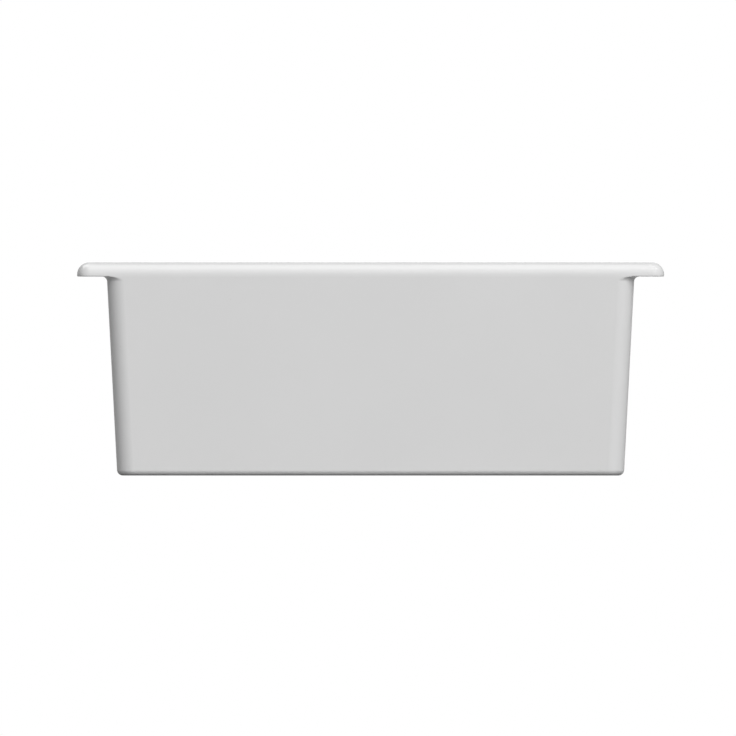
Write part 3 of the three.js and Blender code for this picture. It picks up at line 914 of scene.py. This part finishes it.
def click_housing():
    """The cartridge's cup, with a stud that screws into the spider"""
    floor = HOUSING_SEAT + HOUSING_FLOOR
    corners = [
        (0, HOUSING.bottom, 0),
        (STUD_RADIUS, HOUSING.bottom, FINE),
        (STUD_RADIUS, HOUSING_SEAT, 0),
        (HOUSING.radius, HOUSING_SEAT, FULL),
        (HOUSING.radius, HOUSING.top, FINE),
        (HOUSING_BORE, HOUSING.top, CRISP),
        (HOUSING_BORE, floor, FINE),
        (0, floor, 0),
    ]
    return revolve(softened(corners), ACETAL, SMALL_SIDES)


def click_collar():
    """The collar in the housing's mouth, which keeps the plunger in"""
    bore = PLUNGER_RADIUS + RUNNING_GAP
    sleeve = HOUSING_BORE - SEAT_GAP
    flange = HOUSING.top + SEAT_GAP
    corners = [
        (bore, COLLAR.bottom, CRISP),
        (sleeve, COLLAR.bottom, CRISP),
        (sleeve, flange, 0),
        (COLLAR.radius, flange, CRISP),
        (COLLAR.radius, COLLAR.top, FINE),
        (bore, COLLAR.top, FINE),
    ]
    return revolve(softened(corners), BRASS, SMALL_SIDES)


def click_spring():
    """A round wire wound into a helix"""
    radius = HOUSING_BORE - RUNNING_GAP - 2 * SPRING_WIRE
    low = SPRING_BOTTOM + SPRING_WIRE
    high = SPRING_TOP - SPRING_WIRE
    around = [share * math.tau for share in shares(SPRING_SIDES)[:-1]]
    rings = []
    for share in shares(SPRING_TURNS * SPRING_STEPS_PER_TURN):
        angle = share * SPRING_TURNS * math.tau
        out = Vector((math.cos(angle), math.sin(angle), 0))
        centre = out * radius + Vector((0, 0, low + (high - low) * share))
        section = [out * math.cos(a) - Vector((0, 0, math.sin(a))) for a in around]
        rings.append([centre + spoke * SPRING_WIRE for spoke in section])
    return skin(rings, SPRING_STEEL)


# Stopper
def click_plunger():
    """The plunger's head is trapped under the collar, and its pin carries the cap"""
    head = HOUSING_BORE - RUNNING_GAP
    head_top = PLUNGER.bottom + PLUNGER_HEAD
    shoulder = CAP.bottom - SEAT_GAP
    corners = [
        (0, PLUNGER.bottom, 0),
        (head, PLUNGER.bottom, CRISP),
        (head, head_top, CRISP),
        (PLUNGER_RADIUS, head_top, 0),
        (PLUNGER_RADIUS, shoulder, CRISP),
        (PIN_RADIUS, shoulder, 0),
        (PIN_RADIUS, PLUNGER.top, FINE),
        (0, PLUNGER.top, 0),
    ]
    return revolve(softened(corners), BRASS, SMALL_SIDES)


def stopper_cap():
    """A domed cap with a boss for the plunger's pin, and a spigot whose lip holds the seal"""
    edge_top = CAP.top - CAP_DOME
    dome = CAP.radius - CAP_EDGE_RADIUS
    socket = PIN_RADIUS + SEAT_GAP
    lip_top = SEAL.bottom - SEAT_GAP
    lip_bottom = lip_top - CAP_LIP_HEIGHT
    lip_radius = CAP_SPIGOT_RADIUS + CAP_LIP_WIDTH
    spigot_bore = CAP_SPIGOT_RADIUS - CAP_SPIGOT_WALL
    under = softened(
        [
            (0, CAP.bottom + CAP_SOCKET_DEPTH, 0),
            (socket, CAP.bottom + CAP_SOCKET_DEPTH, 0),
            (socket, CAP.bottom, CRISP),
            (CAP_BOSS_RADIUS, CAP.bottom, FINE),
            (CAP_BOSS_RADIUS, CAP_UNDERSIDE, SOFT),
            (spigot_bore, CAP_UNDERSIDE, SOFT),
            (spigot_bore, lip_bottom, CRISP),
            (lip_radius, lip_bottom, FINE),
            (lip_radius, lip_top, CRISP),
            (CAP_SPIGOT_RADIUS, lip_top, 0),
            (CAP_SPIGOT_RADIUS, CAP_UNDERSIDE, 0),
            (CAP.radius, CAP_UNDERSIDE, FINE),
            (CAP.radius, edge_top, 0),
        ]
    )[:-1]
    edge = [
        (CAP.radius - CAP_EDGE_RADIUS * upward, edge_top - CAP_EDGE_RADIUS * inward)
        for inward, upward in quarter(ARC_STEPS)
    ]
    top = [
        (dome * (1 - share), edge_top + CAP_DOME * (1 - (1 - share) ** 2))
        for share in shares(DOME_STEPS)[1:]
    ]
    return revolve(under + edge + top, CHROME, CAP_SIDES)


def stopper_seal():
    """The ring round the cap's spigot that meets the waste's dish"""
    inner = CAP_SPIGOT_RADIUS + SEAT_GAP
    return ring(inner, SEAL.radius, SEAL.bottom, SEAL.top, RUBBER, SOFT)


# Overflow ring
def overflow_ring():
    """The ring's face lies on the bowl's wall, and the slotted, barbed sleeve grips the wall from behind"""
    sleeve = OVERFLOW_RADIUS - RUNNING_GAP
    inner = sleeve - RING_SLEEVE_WALL
    barb = OVERFLOW_RADIUS + RING_BARB_HEIGHT
    barb_top = -WALL - 2 * RING_GAP
    end = barb_top - RING_BARB_LENGTH
    corners = [
        (inner, end, CRISP),
        (sleeve, end, FINE),
        (barb, barb_top - RING_BARB_HEIGHT / 2, FINE),
        (barb, barb_top, CRISP),
        (sleeve, barb_top, 0),
        (sleeve, 0, 0),
        (OVERFLOW_RING.radius, 0, FINE),
        (OVERFLOW_RING.radius, RING_FACE_THICKNESS, RING_FACE_EDGE),
        (inner, RING_FACE_THICKNESS, RING_FACE_EDGE),
    ]
    half = RING_SLOT_WIDTH / 2
    reach = barb + OVERRUN
    slots = []
    for index in range(RING_SLOTS):
        slot = block(-half, half, -reach, reach, end - OVERRUN, -WALL / 2, CHROME)
        slots.append(placed(slot, Matrix.Rotation(index / RING_SLOTS * math.pi, 4, "Z")))
    made = combined(revolve(softened(corners), CHROME), *[("DIFFERENCE", slot) for slot in slots])
    return placed(made, overflow_place() @ Matrix.Translation((0, 0, RING_GAP)))


# The pieces that stand for their nodes
piece(basin(), "basin", "basin_and_waste")
piece(overflow_ring(), "overflow_ring", "basin_and_waste")
piece(waste_body(), "waste_body", "basin_and_waste")
piece(flange_gasket(), "flange_gasket", "basin_and_waste")
piece(cone_gasket(), "cone_gasket", "basin_and_waste")
piece(slip_washer(), "slip_washer", "basin_and_waste")
piece(back_nut(), "back_nut", "basin_and_waste")
piece(click_housing(), "click_housing", "basin_and_waste")
piece(click_collar(), "click_collar", "basin_and_waste")
piece(click_plunger(), "click_plunger", "stopper")
piece(stopper_cap(), "stopper_cap", "stopper")
piece(stopper_seal(), "stopper_seal", "stopper")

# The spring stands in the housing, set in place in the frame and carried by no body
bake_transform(finished(click_spring(), "click_spring"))

# The toothed ring's own shape is right, so it only gets its material
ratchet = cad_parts["click_ratchet"]
ratchet.data.materials.clear()
ratchet.data.materials.append(ACETAL)


# Floor of the studio, and its brightness near the sink, as a light on things, and in mirrors
FLOOR_RADIUS = 9000
FLOOR_SIDES = 64
FLOOR_DROP = 0.2
FLOOR_WHITE_START = 500
FLOOR_WHITE_END = 1600
FLOOR_GREY = 0.72
FLOOR_GLOW = 0.42
FLOOR_LIT_GREY = 0.2
FLOOR_MIRRORED_SHARE = 0.3

# World of the studio: heights of a direction, from 0 at the horizon to 1 straight up, and what they get
AMBIENT_HEIGHTS = (0.1, 1)
AMBIENT_STRENGTHS = (0.33, 0.06)
BACKDROP_HEIGHTS = (0.05, 0.6)
BACKDROP_MIRRORED_SHARES = (0.15, 0.5)

WHITE = (1, 1, 1, 1)


def grey(level):
    return (level, level, level, 1)


def seen_by_eye(tree, mirrored):
    """1 for what the camera sees, the given share of that where it is mirrored, and 0 as light on things"""
    path = node(tree, "LightPath").outputs
    dimmed = product(tree, path["Is Glossy Ray"], mirrored)
    return node(tree, "Math", {0: path["Is Camera Ray"], 1: dimmed}, operation="MAXIMUM").outputs[0]


def floor_surface():
    """Pale with the sink's shadow near it, white further off, and darker where it only throws light back"""
    material = bpy.data.materials.new("floor")
    tree = tree_of(material)
    place = node(tree, "TexCoord").outputs["Object"]
    distance = node(tree, "VectorMath", {0: place}, operation="LENGTH").outputs["Value"]
    away = remap(tree, distance, FLOOR_WHITE_START * MM, FLOOR_WHITE_END * MM, 0, 1)
    pale = node(tree, "BsdfDiffuse", {"Color": grey(FLOOR_GREY)}).outputs[0]
    glow = node(tree, "Emission", {"Color": WHITE, "Strength": FLOOR_GLOW}).outputs[0]
    white = node(tree, "Emission", {"Color": WHITE, "Strength": 1}).outputs[0]
    dim = node(tree, "BsdfDiffuse", {"Color": grey(FLOOR_LIT_GREY)}).outputs[0]
    near = node(tree, "AddShader", {0: pale, 1: glow}).outputs[0]
    shown = node(tree, "MixShader", {0: away, 1: near, 2: white}).outputs[0]
    seen = seen_by_eye(tree, FLOOR_MIRRORED_SHARE)
    mixed = node(tree, "MixShader", {0: seen, 1: dim, 2: shown}).outputs[0]
    node(tree, "OutputMaterial", {"Surface": mixed})
    return material


def make_floor():
    angles = [share * math.tau for share in shares(FLOOR_SIDES)[:-1]]
    points = [(FLOOR_RADIUS * math.cos(a), FLOOR_RADIUS * math.sin(a), 0) for a in angles]
    floor = solid(points, [tuple(range(FLOOR_SIDES))], floor_surface())
    floor.name = "floor"
    floor.location.z = -FLOOR_DROP * MM


def make_world():
    """White to the eye, and a soft grey as a light, brighter near the horizon"""
    world = bpy.data.worlds.new("studio")
    bpy.context.scene.world = world
    tree = tree_of(world)
    direction = node(tree, "TexCoord").outputs["Generated"]
    height = node(tree, "SeparateXYZ", {"Vector": direction}).outputs["Z"]
    strength = remap(tree, height, *AMBIENT_HEIGHTS, *AMBIENT_STRENGTHS)
    mirrored = remap(tree, height, *BACKDROP_HEIGHTS, *BACKDROP_MIRRORED_SHARES)
    ambient = node(tree, "Background", {"Color": WHITE, "Strength": strength}).outputs[0]
    backdrop = node(tree, "Background", {"Color": WHITE, "Strength": 1}).outputs[0]
    mixed = node(tree, "MixShader", {0: seen_by_eye(tree, mirrored), 1: ambient, 2: backdrop}).outputs[0]
    node(tree, "OutputWorld", {"Surface": mixed})


def softbox(name, direction, distance, side, radiance, mirrored):
    """A square light, sizes in metres, that faces the sink: it either lights it or is mirrored in it"""
    data = bpy.data.lights.new(name, "AREA")
    data.shape = "SQUARE"
    data.size = side
    data.energy = radiance * math.pi * side * side
    light = bpy.data.objects.new(name, data)
    bpy.context.scene.collection.objects.link(light)
    back = Vector(direction).normalized()
    light.location = back * distance + Vector((0, 0, BASIN.top / 2 * MM))
    light.rotation_mode = "QUATERNION"
    light.rotation_quaternion = back.to_track_quat("Z", "Y")
    light.visible_camera = False
    light.visible_diffuse = not mirrored
    light.visible_glossy = mirrored


make_floor()
make_world()
softbox("key", (0.3, -0.73, 0.62), distance=12, side=10.5, radiance=4.42, mirrored=False)
softbox("behind", (-0.22, 0.94, 0.26), distance=12, side=10.5, radiance=3.4, mirrored=False)
softbox("overhead", (0, -0.26, 0.96), distance=4, side=3.7, radiance=1.6, mirrored=True)
softbox("window_left", (-0.45, 0.22, 0.87), distance=9, side=5, radiance=3.4, mirrored=True)
softbox("window_right", (0.62, -0.2, 0.76), distance=9, side=2.4, radiance=3.6, mirrored=True)

# Camera: the photo's width and the rim's in pixels, and how far from the sink's middle the view is centred
PHOTO_PIXELS = 736
RIM_PIXELS = 587
VIEW_RIGHT_PIXELS = -2.58
VIEW_UP_PIXELS = 0.99
PIXEL = BASIN.width / RIM_PIXELS
CAMERA_DISTANCE = 3000
CAMERA_REACH = 50000


def make_camera():
    """A level view along +Y without perspective, at the photo's scale and place"""
    data = bpy.data.cameras.new("camera")
    data.type = "ORTHO"
    data.ortho_scale = PHOTO_PIXELS * PIXEL * MM
    data.clip_end = CAMERA_REACH * MM
    camera = bpy.data.objects.new("camera", data)
    bpy.context.scene.collection.objects.link(camera)
    level = BASIN.top / 2 + VIEW_UP_PIXELS * PIXEL
    camera.location = (VIEW_RIGHT_PIXELS * PIXEL * MM, -CAMERA_DISTANCE * MM, level * MM)
    camera.rotation_euler = (math.pi / 2, 0, 0)
    bpy.context.scene.camera = camera
    bpy.context.scene.view_settings.view_transform = "Standard"


make_camera()
